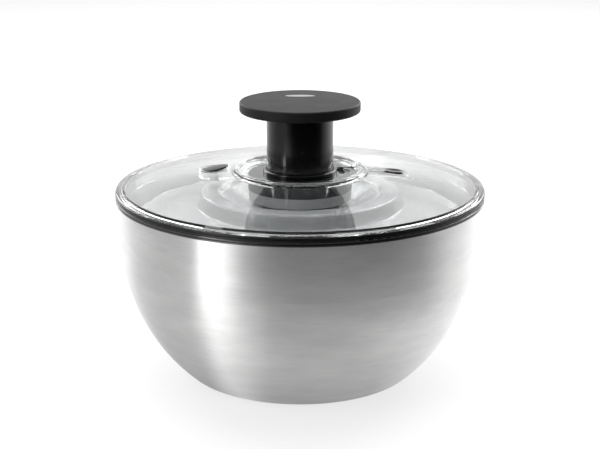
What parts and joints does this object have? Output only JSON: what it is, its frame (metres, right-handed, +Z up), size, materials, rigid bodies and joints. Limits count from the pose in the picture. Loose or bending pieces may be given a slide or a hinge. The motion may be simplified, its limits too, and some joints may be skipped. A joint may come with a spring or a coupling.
{
  "type": "salad spinner",
  "caption": "Pump salad spinner: brushed steel bowl with a rubber-trimmed rim, slotted basket inside, clear lid with a push knob, brake button and lock slider",
  "frame": {"origin": "centre of the footprint, on the surface that the foot ring stands on", "axes": "+Z up along the spin axis; the lock lies towards +X and the brake towards -X; -Y is the front"},
  "size_m": [0.27, 0.27, 0.205],
  "materials": {
    "steel": "circumferential brushed stainless steel",
    "black_rubber": "satin black rubber",
    "foot_rubber": "matte grey-black rubber",
    "soft_grip": "matte soft-touch black rubber",
    "badge": "satin dark grey",
    "gloss_black": "polished black plastic",
    "satin_black": "satin black plastic",
    "dark_plastic": "fine-grained dark grey plastic",
    "clear_plastic": "clear polished plastic",
    "basket_plastic": "milky translucent plastic",
    "frosted_plastic": "frosted translucent grey plastic",
    "acetal": "off-white acetal",
    "latch_grey": "grey plastic",
    "spring_steel": "bright drawn wire and sheet"
  },
  "bodies": {
    "bowl": {"bowl": "steel", "rim_trim": "black_rubber", "foot_ring": "foot_rubber"},
    "basket": {"basket": "basket_plastic", "pivot_bush": "acetal"},
    "lid": {"lid_shell": "clear_plastic", "lid_seal": "black_rubber", "plunger_collar": "gloss_black", "mechanism_housing": "dark_plastic", "bearing_ring": "frosted_plastic", "thrust_washer": "spring_steel", "latch_detent": "spring_steel"},
    "plunger": {"knob_grip": "soft_grip", "knob_badge": "badge", "knob_core": "satin_black", "knob_screws": "spring_steel", "plunger_tube": "gloss_black", "spindle_nut": "acetal", "return_spring": "spring_steel"},
    "spindle": {"spindle": "acetal", "clutch_hub": "acetal", "retaining_clip": "spring_steel"},
    "drive": {"drive_disc": "basket_plastic", "disc_screws": "spring_steel", "drive_hub": "dark_plastic", "hub_retainer": "satin_black", "hub_cover": "frosted_plastic", "clutch_sleeve": "spring_steel", "clutch_spring": "spring_steel", "spindle_bush": "acetal"},
    "brake": {"brake_button": "satin_black", "brake_stem": "acetal", "brake_pad": "black_rubber", "brake_spring": "spring_steel"},
    "lock": {"latch_plate": "latch_grey", "lock_thumb": "gloss_black"}
  },
  "joints": [
    {"name": "lid_lift", "type": "slide", "parent": "bowl", "child": "lid", "axis": [0, 0, 1], "range_m": [0, 0.15]},
    {"name": "basket_spin", "type": "hinge", "parent": "bowl", "child": "basket", "pos_m": [0, 0, 0.006], "axis": [0, 0, 1], "continuous": true},
    {"name": "knob_push", "type": "slide", "parent": "lid", "child": "plunger", "axis": [0, 0, -1], "range_m": [0, 0.043], "stiffness_N_per_m": 140, "springref_m": -0.025, "deforming": ["return_spring"]},
    {"name": "spindle_turn", "type": "hinge", "parent": "lid", "child": "spindle", "pos_m": [0, 0, 0.07], "axis": [0, 0, 1], "range_deg": [0, 484]},
    {"name": "drive_spin", "type": "hinge", "parent": "lid", "child": "drive", "pos_m": [0, 0, 0.12], "axis": [0, 0, 1], "continuous": true},
    {"name": "brake_press", "type": "slide", "parent": "lid", "child": "brake", "axis": [0, 0, -1], "range_m": [0, 0.003], "stiffness_N_per_m": 400, "springref_m": -0.002, "deforming": ["brake_spring"]},
    {"name": "lock_slide", "type": "slide", "parent": "lid", "child": "lock", "axis": [-0.9794, -0.1727, 0.1045], "range_m": [0, 0.006]}
  ],
  "couplings": [
    {"joint": "spindle_turn", "follows": "knob_push", "rad_per_m": 196.35},
    {"joint": "basket_spin", "follows": "drive_spin", "ratio": 1}
  ]
}
